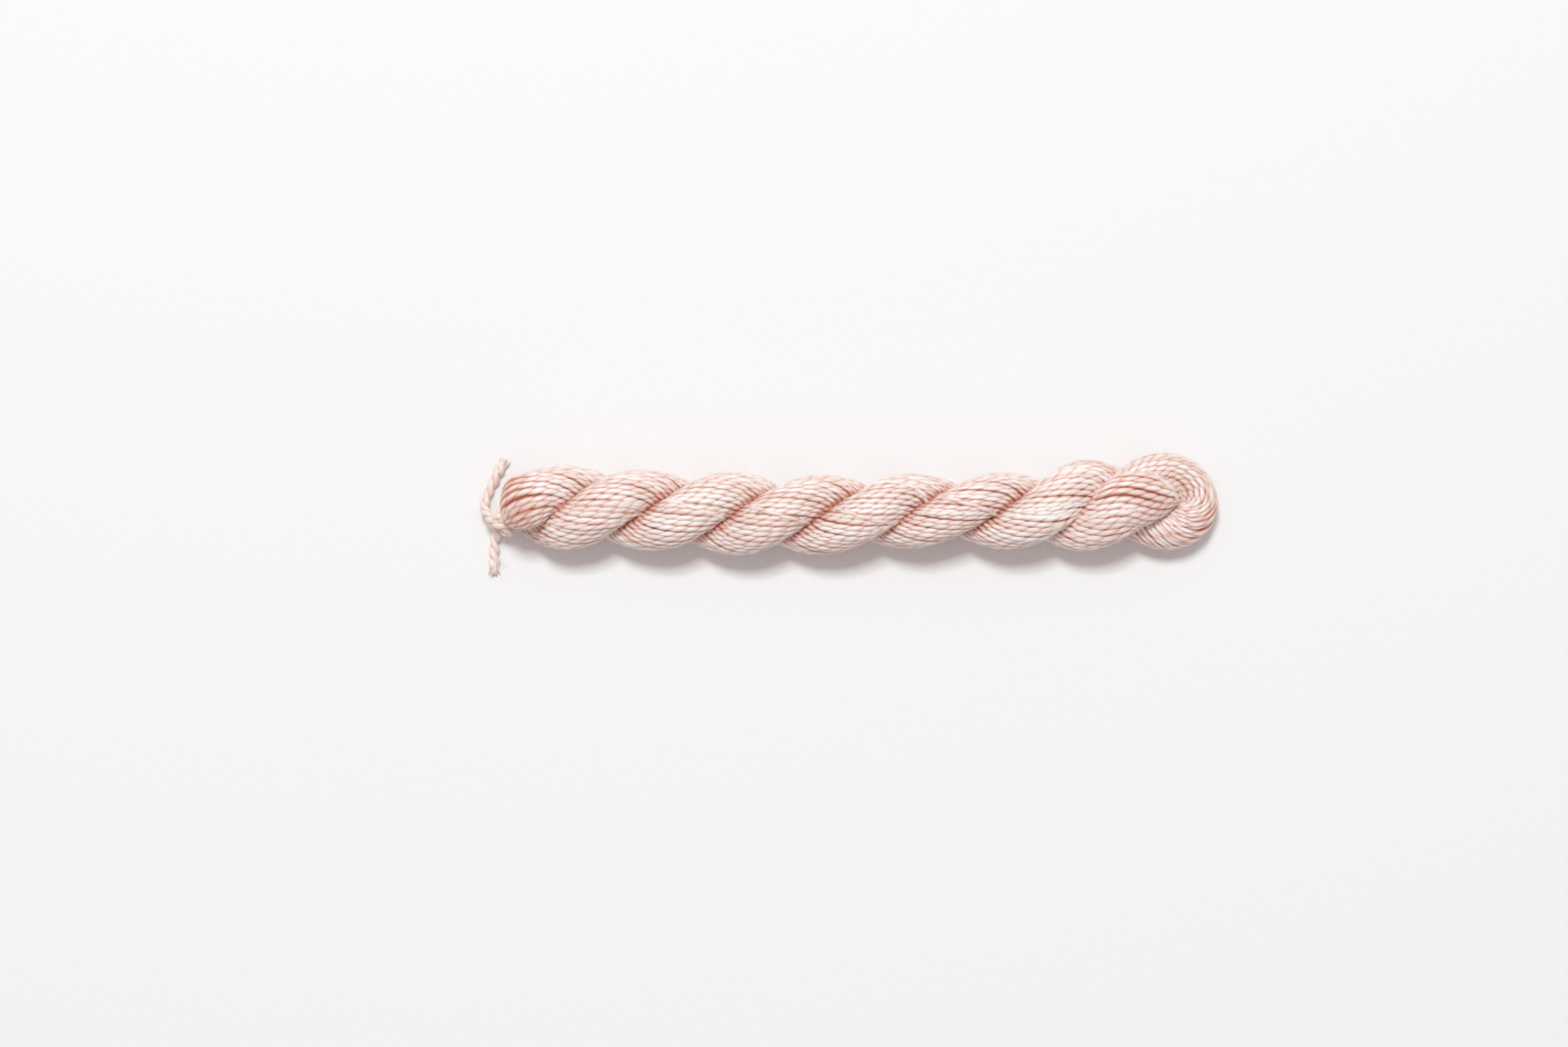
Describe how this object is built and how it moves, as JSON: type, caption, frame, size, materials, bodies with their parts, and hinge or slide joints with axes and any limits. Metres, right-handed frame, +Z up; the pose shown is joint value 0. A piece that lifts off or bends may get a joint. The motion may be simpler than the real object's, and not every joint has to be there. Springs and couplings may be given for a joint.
{
  "type": "skein of silk embroidery thread",
  "caption": "Twisted skein of silk embroidery thread, folded over a knotted tie at one end and tucked through its own looped head at the other.",
  "frame": {"origin": "bottom centre of the skein, where it rests on the surface", "axes": "+X along the skein from its tied end to its looped head, +Z up from the surface"},
  "size_m": [0.1915, 0.0311, 0.02],
  "materials": {
    "silk_pink": "two-ply silk thread, pale pink, soft sheen",
    "silk_tie": "two-ply silk thread, paler pink, soft sheen"
  },
  "bodies": {
    "root": {"skein": "silk_pink", "tie": "silk_tie"}
  },
  "joints": []
}
